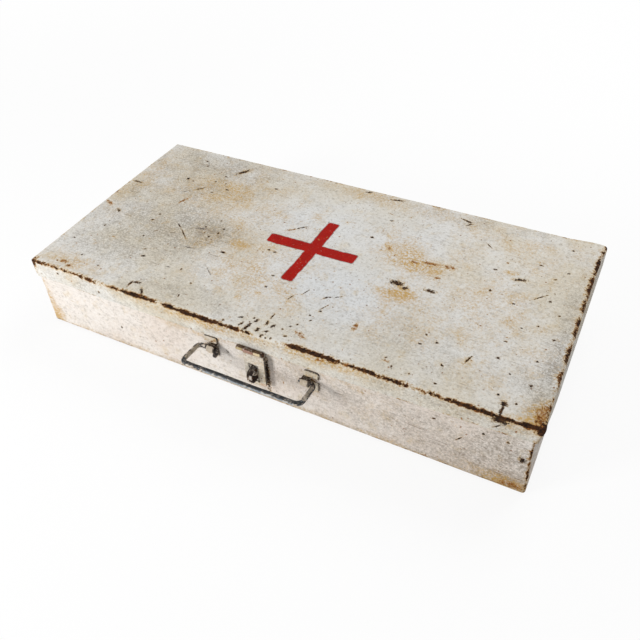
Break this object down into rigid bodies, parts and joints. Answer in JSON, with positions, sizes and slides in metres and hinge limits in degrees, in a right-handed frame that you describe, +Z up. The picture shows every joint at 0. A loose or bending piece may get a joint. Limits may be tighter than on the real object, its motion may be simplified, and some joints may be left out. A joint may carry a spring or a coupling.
{
  "type": "first aid box",
  "caption": "Flat painted sheet-steel first aid box with a hinged lid, a hasp over a staple and a wire bail handle on its front.",
  "frame": {"origin": "middle of the flat underside, in the middle of the box's footprint, on the surface it stands on", "axes": "+X along the box's length, -Y towards the front with the hasp and the handle, +Z up through the lid"},
  "size_m": [0.45, 0.256, 0.075],
  "materials": {
    "painted_tray": "worn cream-white paint on sheet steel, chipped and rust-stained",
    "painted_lid": "worn pale grey-white paint with rust at the edges and a plain red cross painted on top",
    "painted_hinge": "painted over steel hinge leaf, rust at the edges",
    "rusty_pin": "rusted steel wire",
    "painted_rivet": "painted over rivet heads, rust around them",
    "painted_hasp": "painted steel plate, rusted knuckle",
    "rusty_staple": "rusted steel strip with paint remains",
    "painted_ear": "painted pressed steel strap with dark rust in its folds",
    "bail_wire": "bare dark steel wire with paint remains on the legs"
  },
  "bodies": {
    "tray": {"tray_shell": "painted_tray", "staple": "rusty_staple", "bail_ear_left": "painted_ear", "bail_ear_right": "painted_ear", "hinge_left_tray_leaf": "painted_hinge", "hinge_right_tray_leaf": "painted_hinge", "hinge_left_tray_rivets": "painted_rivet", "hinge_right_tray_rivets": "painted_rivet", "hinge_left_pin": "rusty_pin", "hinge_right_pin": "rusty_pin"},
    "lid": {"lid_shell": "painted_lid", "hasp_pin": "rusty_pin", "hinge_left_lid_leaf": "painted_hinge", "hinge_right_lid_leaf": "painted_hinge", "hinge_left_lid_rivets": "painted_rivet", "hinge_right_lid_rivets": "painted_rivet"},
    "hasp": {"hasp_plate": "painted_hasp"},
    "bail": {"bail_handle": "bail_wire"}
  },
  "joints": [
    {"name": "lid_hinge", "type": "hinge", "parent": "tray", "child": "lid", "pos_m": [0, 0.11355, 0.0545], "axis": [-1, 0, 0], "range_deg": [0, 180]},
    {"name": "hasp_hinge", "type": "hinge", "parent": "lid", "child": "hasp", "pos_m": [0.0025, -0.11345, 0.0563], "axis": [-1, 0, 0], "range_deg": [0, 58]},
    {"name": "bail_pivot", "type": "hinge", "parent": "tray", "child": "bail", "pos_m": [0.004, -0.114, 0.044], "axis": [-1, 0, 0], "range_deg": [-88, 80]}
  ]
}
